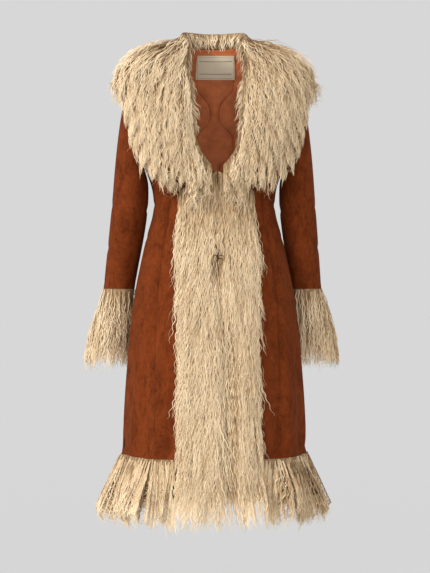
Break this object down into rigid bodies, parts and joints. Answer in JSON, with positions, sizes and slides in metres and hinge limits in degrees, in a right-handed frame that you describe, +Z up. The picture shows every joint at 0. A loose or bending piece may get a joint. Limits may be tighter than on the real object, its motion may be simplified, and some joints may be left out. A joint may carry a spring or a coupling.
{
  "type": "faux fur trimmed faux suede coat",
  "caption": "Fitted knee-length faux suede coat with a long-pile faux fur shawl collar, front bands, hem and flared cuffs, shown filled out as worn with no wearer",
  "frame": {"origin": "midway between the wearer's shoulders, at the height where the shoulder seams meet the side of the neck", "axes": "+Z up along the wearer, -Y out of the coat's front, +X to the wearer's left"},
  "size_m": [0.5958, 0.4205, 1.1168],
  "materials": {
    "suede": "brushed faux suede with a matt mottled nap",
    "fur": "long wavy acrylic faux fur pile",
    "lining": "satin-weave polyester, onion quilted",
    "label": "woven cotton label, bare",
    "hook": "dark lacquered wire"
  },
  "bodies": {
    "root": {"front_left": "suede", "front_right": "suede", "side_front_left": "suede", "side_front_right": "suede", "back_left": "suede", "back_right": "suede", "sleeve_left": "suede", "sleeve_right": "suede", "collar_left": "fur", "collar_right": "fur", "front_band_left": "fur", "front_band_right": "fur", "hem_band_left": "fur", "hem_band_right": "fur", "cuff_left": "fur", "cuff_right": "fur", "lining_back": "lining", "neck_label": "label", "closure_hook": "hook", "closure_eye": "hook"}
  },
  "joints": []
}
